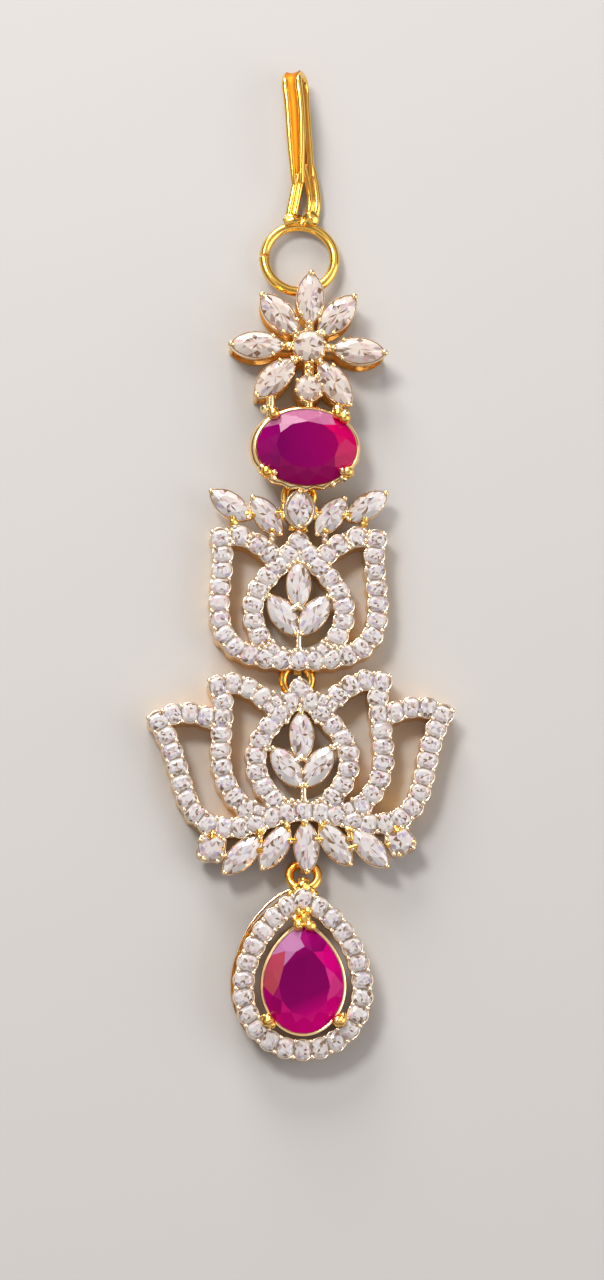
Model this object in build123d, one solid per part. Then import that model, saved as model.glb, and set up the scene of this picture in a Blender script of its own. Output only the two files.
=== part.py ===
from build123d import *
import os
from math import asin, atan2, cos, degrees, radians, sin

# Maang tikka, lying on its back: +Z up, +Y along the jewel towards the hair hook, origin on
# the resting surface under the middle of the jewel. Millimetres.

# ---- driving dimensions ----
bar_height = 2.4  # pavé bars of the tulip and the lotus, from the resting surface up
bar_radius = 1.0  # half the width of a bar where a stone sits
strip_width = 1.75  # width of a bar between two stones
melee_width = 1.36  # round pavé stone
melee_pitch = 1.47  # between the middles of two pavé stones
least_melee = 0.8  # width of the smallest one let into the corners
least_gap = 0.1  # between two loose stones
seat_gap = 0.03  # between a girdle and its seat

# Marquise stones: length and width
petal_size = (4.6, 2.2)
leaf_size = (4.15, 1.95)
base_leaf_size = (4.4, 1.95)
cup_rim = 0.15  # metal beside a marquise stone
cup_tip = 0.25  # metal past each of its points
cup_base = 1.5  # underside of the marquise cups
centre_width, lower_width = 2.7, 2.2  # round stones of the flower
pear_size = (7.3, 4.3, 5.5)  # the drop's ruby: width, and reach below and above its widest line
oval_size = (9.35, 7.2)

flower_base = 2.2  # underside of the flower's upper tier
flower_top = 3.3
gallery_height = 0.45  # lower tier of the flower and of the drop
oval_top = 3.3
halo_base = 1.4
halo_top = 2.5
pear_top = 2.75

ring_wire = 0.95  # the large ring
ring_radius = 3.325  # to the middle of its wire
ring_low = 0.75  # height of its wire at the hook
ring_high = 1.5  # and inside the flower
split_turn, split_width = 177, 1.8  # degrees: the ring's open joint
link_wire = 0.83  # the three jump rings
link_radius = 1.32
link_height = 0.95  # middle of a level jump ring above the surface
link_gap = 0.13

ridge_radius = 0.42  # the hook's two rounded ridges
ridge_offset = 0.5  # each one from the middle of the ribbon
hook_bend = 1.4

# Where each group sits, before the whole is centred on the origin
ring_centre = (-0.18, 29.66)
flower_centre = (0.58, 20.66)
oval_centre = (0.38, 10.98)
tulip_foot = (-0.34, -9.95)
lotus_foot = (0.21, -24.08)
drop_centre = (-0.02, -38.83)
link_1_centre = (-0.22, 6.72)
link_2_centre = (-0.40, -10.62)
link_3_centre = (0.34, -28.99)
link_3_turn = -7.8  # degrees: the lowest ring slants towards the drop's bail
hook_foot = (0.58, 34.0)
lotus_turn = 1.9  # degrees: the lotus hangs slightly askew
drop_lean = (3.5, 1.5)  # degrees: the drop's upper left rests a little higher
hook_turn = 4.0  # degrees
hook_lean = -18.0

on_floor = (Align.CENTER, Align.CENTER, Align.MIN)


# ---- cut stones, each with its girdle at z = 0 ----
def faceted(outline, tiers, culet):
    """A cut stone: the outline at each tier's (scale, height), flat on top, closed to a point."""
    rings = [[Vector(x * s, y * s, z) for x, y in outline] for s, z in tiers]
    culet_point = Vector(0, 0, culet)
    faces = [Face(Wire.make_polygon(rings[0], close=True))]
    count = len(outline)
    for i in range(count):
        j = (i + 1) % count
        for upper, lower in zip(rings, rings[1:]):
            corners = [upper[i], lower[i], lower[j], upper[j]]
            faces.append(Face(Wire.make_polygon(corners, close=True)))
        faces.append(Face(Wire.make_polygon([rings[-1][i], culet_point, rings[-1][j]], close=True)))
    return Solid(Shell(faces))


def oval_outline(count, wide, high):
    turns = [radians(360 * i / count) for i in range(count)]
    return [(wide / 2 * cos(t), high / 2 * sin(t)) for t in turns]


def marquise_outline(count, size):
    """Points along two arcs that meet in a point at each end of the Y axis."""
    reach, half = size[0] / 2, size[1] / 2
    arc = (half**2 + reach**2) / (2 * half)
    spread = asin(reach / arc)
    turns = [spread * (4 * i / count - 1) for i in range(count // 2)]
    side = [(arc * cos(t) - arc + half, arc * sin(t)) for t in turns]
    return side + [(-x, -y) for x, y in side]


def pear_outline(count, wide, below, above):
    """Half an ellipse below the widest line, and sides drawn in to a point above it."""
    points = []
    for i in range(count):
        x, y = cos(radians(360 * i / count + 90)), sin(radians(360 * i / count + 90))
        drawn_in = abs(x) ** 0.55 if y > 0.001 else 1.0
        points.append((wide / 2 * x * drawn_in, y * (above if y > 0 else below)))
    return points


def round_stone(width):
    tiers = ((0.56, 0.18 * width), (1.0, 0.0))
    return faceted(oval_outline(8, width, width), tiers, -0.42 * width)


def marquise(size, count=12):
    width = size[1]
    tiers = ((0.56, 0.22 * width), (1.0, 0.0))
    return faceted(marquise_outline(count, size), tiers, -0.44 * width)


ruby_tiers = ((0.64, 1.05), (0.86, 0.7), (1.0, 0.1), (1.0, -0.1), (0.6, -1.15))
ruby_culet = -1.75
oval_ruby = faceted(oval_outline(20, *oval_size), ruby_tiers, ruby_culet)
pear_ruby = faceted(pear_outline(20, *pear_size), ruby_tiers, ruby_culet)


# ---- seats and cups ----
def marquise_face(long, wide):
    tip, flank = Vector(0, long / 2), Vector(wide / 2, 0)
    arcs = [ThreePointArc(-tip, flank, tip), ThreePointArc(tip, -flank, -tip)]
    return make_face(Curve() + arcs)


def round_seat(width, depth):
    """Stepped bore under a round stone, down to the given depth."""
    upper = Pos(0, 0, -0.1 * width) * Cylinder(width / 2 + seat_gap, 2, align=on_floor)
    return upper + Pos(0, 0, -depth) * Cylinder(0.41 * width, depth, align=on_floor)


def marquise_seat(size):
    """Ledge under the girdle, open behind."""
    girdle = marquise_face(size[0] + 2 * seat_gap, size[1] + 2 * seat_gap)
    opening = marquise_face(0.8 * size[0], 0.8 * size[1])
    return extrude(Pos(0, 0, -0.2) * girdle, 2) + extrude(Pos(0, 0, -2) * opening, 3)


def marquise_cup(size):
    return marquise_face(size[0] + 2 * cup_tip, size[1] + 2 * cup_rim)


def strip(a, b, width):
    """A straight strip between two points of the XY plane."""
    step = Vector(*b) - Vector(*a)
    middle = (Vector(*a) + Vector(*b)) * 0.5
    turn = degrees(atan2(step.Y, step.X))
    return Pos(middle.X, middle.Y) * Rot(0, 0, turn) * Rectangle(step.length, width)


# ---- pavé bars ----
def row(points):
    """Evenly spaced stone places on a smooth curve through the points."""
    curve = Spline(*points)
    count = int(curve.length // melee_pitch)
    return [curve @ (i / count) for i in range(count + 1)]


def both_sides(tables):
    rows = [row(points) for points in tables]
    return rows + [[Vector(-p.X, p.Y) for p in places] for places in rows]


def bars(rows):
    """Outline of pavé bars: a disc round each seat, and a narrower strip from seat to seat."""
    shapes = []
    for places in rows:
        shapes += [Pos(p.X, p.Y) * Circle(bar_radius) for p in places]
        shapes += [strip(a, b, strip_width) for a, b in zip(places, places[1:])]
    return Sketch() + shapes


def stone_places(rows):
    """Each place with the width of stone that leaves a gap to every earlier one."""
    between = [
        a + (b - a) * (quarter / 4)
        for places in rows
        for a, b in zip(places, places[1:])
        for quarter in (1, 2, 3)
    ]
    kept = []
    for p in sum(rows, []) + between:
        room = [2 * ((p - q).length - least_gap - width / 2) for q, width in kept]
        width = min([melee_width] + room)
        if width >= least_melee:
            kept.append((p, width))
    return kept


def melee_seats(rows, girdle):
    return [
        Pos(p.X, p.Y, girdle) * round_seat(width, 0.42 * width + 0.05)
        for p, width in stone_places(rows)
    ]


def pave_field(rows, place, girdle):
    return Compound(
        [place * Pos(p.X, p.Y, girdle) * round_stone(width) for p, width in stone_places(rows)]
    )


# ---- rings ----
def eyelet(x, y, top, turn=0.0):
    """A small upright loop round a jump ring's wire, which passes along X before the turn."""
    hole, width = link_wire / 2 + link_gap, 0.7
    outer = hole + 0.4
    rise = top - link_height
    loop = Rot(0, 90, 0) * Cylinder(outer, width) + Pos(0, 0, rise / 2) * Box(width, 2 * outer, rise)
    loop -= Rot(0, 90, 0) * Cylinder(hole, width)
    above = Box(width, 2 * outer, outer, align=on_floor)
    return Pos(x, y, link_height) * Rot(0, 0, turn) * (loop - Pos(0, 0, rise) * above)


def link_pocket(centre):
    """Room for a level jump ring under a bar."""
    radius = link_radius + link_wire / 2 + link_gap
    return Pos(*centre, 0) * Cylinder(radius, cup_base, align=on_floor)


def jump_ring(middle, along):
    """A jump ring with the given direction in its plane, as level as that leaves it."""
    place = Plane(middle, x_dir=along, z_dir=along.cross(Vector(-1, 0, 0)))
    return place.location * Torus(link_radius, link_wire / 2)


nodes = {}


def set_stones(stone, places, names):
    for name, place in zip(names, places):
        nodes[name] = place * stone


# ---- hair hook and large ring, soldered together ----
def round_wire(path, radius):
    return sweep(Plane(path @ 0, z_dir=path % 0) * Circle(radius), path)


def ring_point(turn):
    """A point of the large ring's wire; the ring rises from the hook to the flower."""
    x, y = ring_radius * cos(radians(turn)), ring_radius * sin(radians(turn))
    return ring_place * Pos(x, y, 0) * Rot(0, 0, turn)


ring_tilt = -degrees(asin((ring_high - ring_low) / (2 * ring_radius)))
ring_place = Pos(*ring_centre, (ring_high + ring_low) / 2) * Rot(ring_tilt, 0, 0)
ring_section = Plane.XZ * Pos(ring_radius, 0) * Circle(ring_wire / 2)
ring = ring_place * Rot(0, 0, split_turn) * revolve(ring_section, Axis.Z, 360 - split_width)

ribbon_start, bend_start, free_end = 2.9, 11.7, 2.5  # along the hook from its foot
front_height = 2 * hook_bend
back_leg = Line((0, ribbon_start, 0), (0, bend_start, 0))
bend_middle = (0, bend_start + hook_bend, hook_bend)
bend = ThreePointArc(back_leg @ 1, bend_middle, (0, bend_start, front_height))
front_leg = Line(bend @ 1, (0, free_end, front_height))
ribbon_path = Wire([back_leg.edge(), bend.edge(), front_leg.edge()])
web_thickness = 0.46
web = Plane(back_leg @ 0, x_dir=(1, 0, 0), z_dir=(0, 1, 0))
ribbon = sweep(web * Rectangle(2 * ridge_offset, web_thickness), ribbon_path)
for side in (-ridge_offset, ridge_offset):
    ribbon += Pos(side, 0, 0) * round_wire(ribbon_path, ridge_radius)
hook_height = ridge_radius + 0.17
hook_place = Pos(*hook_foot, hook_height) * Rot(0, 0, hook_turn) * Rot(0, hook_lean, 0)
hook = hook_place * ribbon

# The back leg forks into two doubled strips, which part and meet the ring in two solder lumps
fork_height, fork_wire, fork_offset = 0.6, 0.32, 0.26
fork_strips = (
    ((-0.1, 37.3), (-0.68, 35.6), (-1.25, 33.5)),
    ((0.92, 37.3), (1.2, 35.4), (0.72, 33.5)),
)
for strip_points in fork_strips:
    for side in (-fork_offset, fork_offset):
        points = [(x + side, y, fork_height) for x, y in strip_points]
        hook += round_wire(Wire([ThreePointArc(*points)]), fork_wire)
lump = fillet(Cylinder(0.7, 1.3).edges(), 0.3)
for turn in (109, 76):
    hook += ring_point(turn) * Rot(90, 0, 0) * lump
nodes["hook_and_ring"] = hook + ring


# ---- top panel: flower and oval basket ----
# Petals of the flower: direction in degrees, and distance of each stone's middle
petals = {
    "top": (88.3, 4.6),
    "upper_left": (132.4, 4.1),
    "left": (179.4, 4.86),
    "lower_left": (224.0, 4.45),
    "lower_right": (304.1, 4.3),
    "right": (355.4, 4.7),
    "upper_right": (48.4, 4.0),
}
round_rim = 0.22
post_radius, post_height = 0.28, flower_base + 0.1
round_stones = {"centre_stone": ((0, 0), centre_width), "lower_stone": ((0, -4.04), lower_width)}
round_cups = [Pos(*at) * Circle(width / 2 + round_rim) for at, width in round_stones.values()]
flower_shapes = round_cups + [strip((0, 0), (0, -4), 0.9)]
flower_floor = []
petal_places = []
posts = []
for turn, distance in petals.values():
    direction = Vector(1, 0).rotate(Axis.Z, turn)
    at = direction * distance
    petal_places.append(Pos(at.X, at.Y) * Rot(0, 0, turn - 90))
    inner = direction * (distance - petal_size[0] / 2)
    flower_shapes += [petal_places[-1] * marquise_cup(petal_size), strip((0, 0), inner, 0.8)]
    tip = direction * (distance + petal_size[0] / 2 - 0.06)
    posts.append(Pos(tip.X, tip.Y) * Cylinder(post_radius, post_height, align=on_floor))
for turn in (20, 155, 270):
    at = Vector(1.32, 0).rotate(Axis.Z, turn)
    posts.append(Pos(at.X, at.Y) * Cylinder(post_radius, post_height, align=on_floor))
flower_outline = Sketch() + flower_shapes
flower_girdle = Pos(0, 0, flower_top - 0.03)
flower = Pos(0, 0, flower_base) * extrude(flower_outline, flower_top - flower_base)
flower -= [place * flower_girdle * marquise_seat(petal_size) for place in petal_places]
flower -= [Pos(*at) * flower_girdle * round_seat(w, 2) for at, w in round_stones.values()]
petal_hole = marquise_face(0.72 * petal_size[0], 0.66 * petal_size[1])
gallery = flower_outline - [place * petal_hole for place in petal_places]
gallery -= Pos(*round_stones["lower_stone"][0]) * Circle(0.3 * lower_width)
flower += extrude(gallery, gallery_height)
flower += posts
flower_place = Pos(*flower_centre)

oval_girdle = oval_top + 0.05
oval_place = Pos(*oval_centre)


def tapered(low, high, height):
    """A tapered oval body between two (semi-axis, semi-axis) pairs."""
    return loft([Ellipse(*low).face(), Pos(0, 0, height) * Ellipse(*high).face()])


basket = tapered((4.4, 3.4), (4.84, 3.78), oval_top)
basket -= Pos(0, 0, -0.01) * tapered((3.8, 2.8), (4.4, 3.32), oval_top + 0.02)
windows = 10
for i in range(windows):
    window = Pos(4, 0, 1.4) * Rot(0, 90, 0) * Cylinder(0.78, 4)
    basket -= Rot(0, 0, 360 * (i + 0.5) / windows) * window
# Ball prongs: four corners, the upper right one doubled
oval_prongs = ((-3.1, 3.1), (2.95, 3.12), (3.5, 2.75), (-3.75, -2.45), (3.8, -2.4))
prong_ball, prong_post, prong_base = 0.58, 0.36, 1.9
for x, y in oval_prongs:
    post = Cylinder(prong_post, oval_girdle - prong_base, align=on_floor)
    basket += Pos(x, y, prong_base) * post
    basket += Pos(x, y, oval_girdle + 0.3) * Sphere(prong_ball)
basket = oval_place * basket - link_pocket(link_1_centre)
basket += eyelet(link_1_centre[0], link_1_centre[1] + link_radius, cup_base + 0.3)
oval_seat_outline = oval_outline(40, oval_size[0] + 0.06, oval_size[1] + 0.06)
oval_seat = make_face(Polyline(*oval_seat_outline, close=True))
basket -= oval_place * Pos(0, 0, oval_girdle - 0.3) * extrude(oval_seat, 0.5)
basket -= oval_place * Pos(0, 0, oval_girdle) * scale(oval_ruby, by=1.015)

top_panel = flower_place * flower + basket
# x, and the reach along Y of the bars between flower and basket
for x, lower, upper in ((-3.0, 13.4, 16.4), (0.6, 14.4, 15.6), (3.4, 13.6, 16.0)):
    link_bar = Box(0.7, upper - lower, 0.8, align=(Align.CENTER, Align.MIN, Align.MIN))
    top_panel += Pos(x, lower, flower_base) * link_bar
nodes["top_panel"] = top_panel
on_flower = flower_place * flower_girdle
petal_names = ["petal_stone_" + name for name in petals]
set_stones(marquise(petal_size), [on_flower * place for place in petal_places], petal_names)
for name, (at, width) in round_stones.items():
    nodes[name] = on_flower * Pos(*at) * round_stone(width)
nodes["oval_ruby"] = oval_place * Pos(0, 0, oval_girdle) * oval_ruby


# ---- pavé panels: bars on the surface, marquise cups raised between and beside them ----
panel_girdle = bar_height - 0.03


def strips(table, width=0.6):
    return [strip(a, b, width) for a, b in table]


def mirrored_strips(table):
    return table + tuple(((-a[0], a[1]), (-b[0], b[1])) for a, b in table)


def cup_places(table):
    """Marquise places from a table of x, y and the turn of the stone's length from +Y."""
    return [Pos(x, y) * Rot(0, 0, turn) for x, y, turn in table]


def panel(rows, cups, raised):
    """Pavé bars with a seat for each stone, and the raised cups and struts joined to them."""
    seats = melee_seats(rows, panel_girdle)
    cup_shapes = list(raised)
    for places, size in cups:
        seats += [place * Pos(0, 0, panel_girdle) * marquise_seat(size) for place in places]
        cup_shapes += [place * marquise_cup(size) for place in places]
    metal = extrude(bars(rows), bar_height)
    metal += Pos(0, 0, cup_base) * extrude(Sketch() + cup_shapes, bar_height - cup_base)
    return metal - seats


# The same three marquise stones stand inside the tulip and inside the lotus
heart = cup_places(((0, 8.1, 0), (-1.46, 5.2, 34), (1.46, 5.2, -34)))
heart_struts = mirrored_strips((((-0.8, 5.6), (0.1, 6.2)), ((-2.6, 6.8), (-3.7, 7.3))))
heart_struts += (((0, 3.6), (0, 1.8)), ((0, 10.0), (0, 11.6)))
heart_names = ["upright", "leaf_left", "leaf_right"]


# ---- tulip panel ----
tulip_sides = (
    # outer bar, from the foot up to the corner
    ((0, 1.0), (-1.3, 1.02), (-4.7, 1.55), (-6.6, 2.9), (-7.35, 5.4), (-7.1, 9.4), (-7.25, 12.4)),
    # inner drop, from its point down
    (
        *((0, 12.1), (-1.2, 10.6), (-3.0, 8.6), (-4.0, 7.0)),
        *((-4.25, 5.2), (-3.6, 3.2), (-2.1, 1.7), (0, 1.2)),
    ),
    # top edge, from the corner inwards
    ((-7.25, 12.4), (-5.8, 12.7), (-4.3, 12.2), (-2.3, 10.7)),
)
tulip_rows = both_sides(tulip_sides)
spray = cup_places(((-6.4, 15.55, 54.5), (-3.0, 14.55, 37), (3.0, 14.55, -37), (6.4, 15.55, -54.5)))
spray_struts = mirrored_strips(
    (
        ((-4.9, 14.7), (-3.4, 14.5)),
        ((-6.3, 15.2), (-6.0, 12.9)),
        ((-2.4, 14.0), (-2.5, 11.6)),
        ((-2.4, 14.8), (0, 14.8)),
    )
)
kite_size = (3.3, 2.3)
kite_rise = 0.5  # the kite cup stands above its neighbours
kite_at = (0.06, 15.1)
kite_cup = Pos(*kite_at) * marquise_face(kite_size[0] + 0.45, kite_size[1] + 0.7)
kite_girdle = Pos(*kite_at, panel_girdle + kite_rise)
kite_seat = extrude(Pos(0, 0, -0.2) * marquise_face(kite_size[0] + 0.06, kite_size[1] + 0.06), 1)
kite_seat += Pos(0, 0, -1.05) * extrude(marquise_face(0.82 * kite_size[0], 0.82 * kite_size[1]), 1)
tulip_place = Pos(*tulip_foot)
tulip_raised = [kite_cup] + strips(heart_struts + spray_struts + (((0, 14.0), (0, 12.4)),))
tulip = panel(tulip_rows, ((heart + spray, leaf_size),), tulip_raised)
tulip += Pos(0, 0, cup_base) * extrude(kite_cup, bar_height - cup_base + kite_rise)
tulip -= kite_girdle * kite_seat
tulip = tulip_place * tulip - link_pocket(link_2_centre)
tulip += eyelet(link_1_centre[0], link_1_centre[1] - link_radius, cup_base + 0.1)
tulip += eyelet(link_2_centre[0], link_2_centre[1] + link_radius, cup_base + 0.1)
nodes["tulip_panel"] = tulip
nodes["tulip_pave"] = pave_field(tulip_rows, tulip_place, panel_girdle)
spray_names = ["outer_left", "inner_left", "inner_right", "outer_right"]
tulip_names = ["tulip_" + n for n in heart_names] + ["spray_" + n for n in spray_names]
on_tulip = tulip_place * Pos(0, 0, panel_girdle)
set_stones(marquise(leaf_size), [on_tulip * cup for cup in heart + spray], tulip_names)
nodes["spray_kite"] = tulip_place * kite_girdle * marquise(kite_size, 8)


# ---- lotus panel ----
lotus_sides = (
    # foot and outer petal's lower edge, out to its tip
    (
        *((0, 1.1), (-1.5, 1.0), (-3.3, 0.55), (-5.2, -0.15), (-7.0, -0.25), (-8.7, 0.1)),
        *((-10.05, 1.25), (-10.95, 3.2), (-11.55, 5.6), (-12.25, 7.9), (-13.15, 9.75)),
    ),
    # inner drop, from its point down
    (
        *((0, 12.45), (-1.2, 10.9), (-3.1, 8.8), (-4.1, 7.1)),
        *((-4.3, 5.3), (-3.6, 3.4), (-2.1, 1.8), (0, 1.25)),
    ),
    # middle petal, from its tip down to the foot
    (
        *((-7.55, 12.9), (-7.15, 11.3), (-7.3, 9.3), (-7.5, 7.0)),
        *((-7.4, 4.9), (-6.7, 3.1), (-5.6, 1.7), (-4.0, 0.75)),
    ),
    # outer petal's upper edge
    ((-13.15, 9.75), (-11.6, 10.4), (-9.9, 10.4), (-7.4, 9.3)),
    # middle petal's upper edge
    ((-7.55, 12.9), (-6.0, 13.1), (-4.4, 12.45), (-2.4, 10.8)),
)
lotus_rows = both_sides(lotus_sides)
# The row of base leaves under the lotus
base_table = ((0.1, -2.15, 0), (-2.78, -2.15, -33), (2.78, -2.0, 34), (-5.82, -2.8, -47), (5.9, -2.45, 42))
base_leaves = cup_places(base_table)
base_names = ["middle", "left_1", "right_1", "left_2", "right_2"]
# Square cup with a round stone at each end: x, y and turn
end_table = ((-8.6, -2.05, -14), (8.75, -1.9, 18))
end_places = [Pos(x, y) * Rot(0, 0, turn) for x, y, turn in end_table]
end_width = 2.2
end_cup = RectangleRounded(2.55, 2.55, 0.5)
base_struts = mirrored_strips(
    (
        ((-1.6, -0.7), (-1.6, 0.6)),
        ((-4.2, -1.6), (-4.0, 0.2)),
        ((-7.6, -2.2), (-9.0, -2.0)),
        ((-8.7, -1.8), (-8.2, 0.0)),
        ((-3.6, -2.6), (-5.0, -2.2)),
        ((-0.6, -1.6), (-2.4, -1.6)),
    )
)
lotus_place = Pos(*lotus_foot) * Rot(0, 0, lotus_turn)
lotus_raised = [place * end_cup for place in end_places] + strips(heart_struts + base_struts)
lotus_raised += strips((((0, 0.9), (0, -0.6)),))
lotus = panel(lotus_rows, ((heart, leaf_size), (base_leaves, base_leaf_size)), lotus_raised)
on_girdle = Pos(0, 0, panel_girdle)
lotus -= [place * on_girdle * round_seat(end_width, 2) for place in end_places]
lotus = lotus_place * lotus - link_pocket(link_2_centre)
lotus += eyelet(link_2_centre[0], link_2_centre[1] - link_radius, cup_base + 0.1)
lotus += eyelet(link_3_centre[0], link_3_centre[1] + link_radius, cup_base + 0.2, link_3_turn)
nodes["lotus_panel"] = lotus
nodes["lotus_pave"] = pave_field(lotus_rows, lotus_place, panel_girdle)
on_lotus = lotus_place * on_girdle
heart_nodes, base_nodes = ["lotus_" + n for n in heart_names], ["base_" + n for n in base_names]
set_stones(marquise(leaf_size), [on_lotus * cup for cup in heart], heart_nodes)
set_stones(marquise(base_leaf_size), [on_lotus * cup for cup in base_leaves], base_nodes)
end_nodes = ["base_end_left", "base_end_right"]
set_stones(round_stone(end_width), [on_lotus * place for place in end_places], end_nodes)


# ---- drop: halo, its gallery, the pear basket and the bail ----
halo_sides = (
    (
        *((0, 7.8), (-1.5, 7.05), (-3.3, 5.35), (-4.6, 3.25), (-5.38, 0.6)),
        *((-5.28, -1.7), (-4.4, -3.65), (-2.6, -5.22), (0, -5.8)),
    ),
)
halo_rows = both_sides(halo_sides)
halo_girdle = halo_top - 0.03


def pear_face(wide, below, above):
    outline = pear_outline(24, wide, below, above)
    return make_face(Spline(*outline, outline[0]))


def pear_ring(outer, inner):
    return pear_face(*outer) - pear_face(*inner)


halo = Pos(0, 0, halo_base) * extrude(bars(halo_rows), halo_top - halo_base)
rail_outer, rail_inner = (12.9, 6.75, 8.9), (11.9, 6.2, 8.1)
rail = extrude(pear_ring(rail_outer, rail_inner), gallery_height)
for place in [p for places in halo_rows for p in places[1:-1:2]]:
    out = place + place.normalized() * 0.45
    rail += Pos(out.X, out.Y) * Cylinder(0.26, halo_base + 0.1, align=on_floor)

wide, below, above = pear_size
rim_outer = (wide + 0.45, below + 0.22, above + 0.35)
rim_inner = (wide - 0.5, below - 0.25, above - 0.4)
foot_outer, foot_inner = (6.6, 3.6, 4.6), (5.6, 3.1, 3.8)
rim_depth = 0.6
pear_girdle = Pos(0, 0, pear_top + 0.05)
setting = Pos(0, 0, pear_top - rim_depth) * extrude(pear_ring(rim_outer, rim_inner), rim_depth)
setting += extrude(pear_ring(foot_outer, foot_inner), gallery_height)
# Ball prongs: two corners, and a pair of balls at the point
pear_prongs = ((-3.1, -3.15), (3.1, -3.15), (-0.5, 5.45), (0.5, 5.45))
for x, y in pear_prongs:
    setting += Pos(x, y) * Cylinder(0.36, pear_top, align=on_floor)
    setting += Pos(x, y) * pear_girdle * Pos(0, 0, 0.25) * Sphere(0.52)
spokes = (((-2.5, -2.5), (-4.5, -4.0)), ((2.5, -2.5), (4.5, -4.0)), ((0, 3.7), (0, 8.3)))
setting += [extrude(spoke, gallery_height) for spoke in strips(spokes, 0.7)]
point_bar = strip((0, 5.2), (0, 7.3), 1.2)
setting += Pos(0, 0, halo_base + 0.1) * extrude(point_bar, 0.7)
seat_outline = pear_outline(20, wide + 0.06, below + 0.03, above + 0.05)
pear_seat = make_face(Polyline(*seat_outline, close=True))
setting -= pear_girdle * Pos(0, 0, -0.3) * extrude(pear_seat, 0.5)
setting -= pear_girdle * scale(pear_ruby, by=1.015)

bail_at = (0, 8.82, 1.0)
bail_inner, bail_outer, bail_wide = link_wire / 2 + 0.28, 1.05, 1.0
bail_place = Pos(*bail_at) * Rot(0, 0, link_3_turn) * Rot(0, 90, 0)
drop = halo + rail + setting + bail_place * Cylinder(bail_outer, bail_wide)
drop -= bail_place * Cylinder(bail_inner, 2 * bail_wide)
drop -= melee_seats(halo_rows, halo_girdle)
drop_frame = Pos(*drop_centre) * Rot(*drop_lean, 0)
drop_place = Pos(0, 0, -(drop_frame * drop).bounding_box().min.Z) * drop_frame
nodes["drop_frame"] = drop_place * drop
nodes["drop_pave"] = pave_field(halo_rows, drop_place, halo_girdle)
nodes["pear_ruby"] = drop_place * pear_girdle * pear_ruby

# ---- jump rings: two lie level, the third slopes from the lotus up to the drop's bail ----
for number, (x, y) in enumerate((link_1_centre, link_2_centre), 1):
    nodes[f"jump_ring_{number}"] = jump_ring(Vector(x, y, link_height), Vector(0, 1, 0))
link_3_upper = Vector(link_3_centre[0], link_3_centre[1] + link_radius, link_height)
link_3_lower = (drop_place * Pos(*bail_at)).position
link_3_middle = (link_3_upper + link_3_lower) * 0.5
nodes["jump_ring_3"] = jump_ring(link_3_middle, link_3_upper - link_3_lower)

# ---- centred on the origin and written out ----
box = Compound([node for node in nodes.values()]).bounding_box()
middle = box.center()
os.makedirs("parts", exist_ok=True)
for name, node in nodes.items():
    export_step(Pos(-middle.X, -middle.Y, -box.min.Z) * node, f"parts/{name}.step")
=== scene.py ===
import bmesh
import bpy
import random
from math import asin, atan2, cos, degrees, pi, radians, sin, sqrt
from mathutils import Matrix, Vector, noise
from mathutils.bvhtree import BVHTree


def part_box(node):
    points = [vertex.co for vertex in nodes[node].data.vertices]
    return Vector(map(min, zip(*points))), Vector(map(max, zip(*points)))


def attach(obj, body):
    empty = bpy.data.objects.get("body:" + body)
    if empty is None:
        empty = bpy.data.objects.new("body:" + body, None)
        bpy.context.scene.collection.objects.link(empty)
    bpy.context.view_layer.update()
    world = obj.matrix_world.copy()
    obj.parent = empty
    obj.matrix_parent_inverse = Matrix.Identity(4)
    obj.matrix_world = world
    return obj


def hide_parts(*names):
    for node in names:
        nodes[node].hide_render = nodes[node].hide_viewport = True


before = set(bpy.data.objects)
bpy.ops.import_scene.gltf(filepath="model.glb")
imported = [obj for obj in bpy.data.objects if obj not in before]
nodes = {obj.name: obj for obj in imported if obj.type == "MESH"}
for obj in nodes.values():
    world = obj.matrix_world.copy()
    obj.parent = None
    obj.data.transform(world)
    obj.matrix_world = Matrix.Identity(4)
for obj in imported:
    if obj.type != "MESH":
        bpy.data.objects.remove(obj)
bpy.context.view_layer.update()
mm = 0.001


# ---- Table top, light and camera ----
# The jewel lies face up on a pale matt table top under plain soft studio light. The camera
# looks almost straight down, from a little below the jewel and to its left.
floor_mesh = bpy.data.meshes.new("table_top")
reach = 1.5
corners = [(-reach, -reach, 0), (reach, -reach, 0), (reach, reach, 0), (-reach, reach, 0)]
floor_mesh.from_pydata(corners, [], [(0, 1, 2, 3)])
table_top = bpy.data.objects.new("table_top", floor_mesh)
table_top.location.z = -0.05 * mm
bpy.context.scene.collection.objects.link(table_top)
matt = bpy.data.materials.new("matt_table")
matt.use_nodes = True
matt_shader = matt.node_tree.nodes["Principled BSDF"]
matt_shader.inputs["Base Color"].default_value = (0.48, 0.475, 0.47, 1)
matt_shader.inputs["Roughness"].default_value = 0.9
floor_mesh.materials.append(matt)

world = bpy.data.worlds.new("studio")
world.use_nodes = True
sky = world.node_tree
direction = sky.nodes.new("ShaderNodeTexCoord")
height = sky.nodes.new("ShaderNodeSeparateXYZ")
dome = sky.nodes.new("ShaderNodeValToRGB")
dome_tones = (
    (0.00, (0.10, 0.08, 0.07)),
    (0.35, (0.24, 0.22, 0.21)),
    (0.60, (0.98, 0.94, 0.94)),
    (0.86, (1.00, 0.97, 0.97)),
    (0.97, (0.34, 0.31, 0.32)),
)
for i, (position, colour) in enumerate(dome_tones):
    stop = dome.color_ramp.elements[i] if i < 2 else dome.color_ramp.elements.new(position)
    stop.position = position
    stop.color = (*colour, 1)
sky.links.new(direction.outputs["Generated"], height.inputs["Vector"])
sky.links.new(height.outputs["Z"], dome.inputs["Fac"])
sky.links.new(dome.outputs["Color"], sky.nodes["Background"].inputs["Color"])
sky.nodes["Background"].inputs["Strength"].default_value = 0.7
bpy.context.scene.world = world
bpy.context.scene.view_settings.view_transform = "Standard"


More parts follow.
